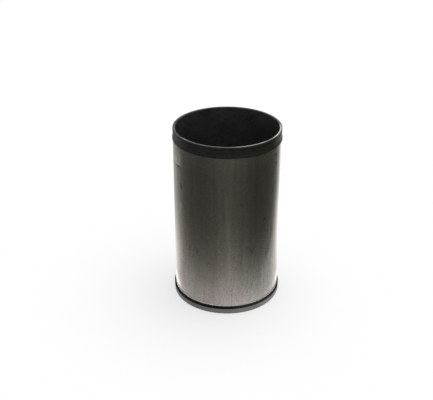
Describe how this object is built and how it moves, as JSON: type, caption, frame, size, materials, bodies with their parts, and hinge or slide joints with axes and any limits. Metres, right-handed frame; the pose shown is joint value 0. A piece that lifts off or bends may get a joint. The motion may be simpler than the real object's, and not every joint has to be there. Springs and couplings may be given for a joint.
{
  "type": "cylinder liner",
  "caption": "Thin-walled open-ended engine cylinder sleeve: ground barrel, dark waisted pilot band under the rim, and a stepped seating flange at the foot.",
  "frame": {"origin": "centre of the foot's lower face, on the bore axis", "axes": "+Z along the bore, from the flanged foot up to the plain rim; X and Y are free, as the part is round"},
  "size_m": [0.1096, 0.1096, 0.1825],
  "materials": {
    "liner_iron": "satin ground barrel, turned end faces and flange register, dark matt bore, pilot band and flange ring"
  },
  "bodies": {
    "root": {"cylinder_liner": "liner_iron"}
  },
  "joints": []
}
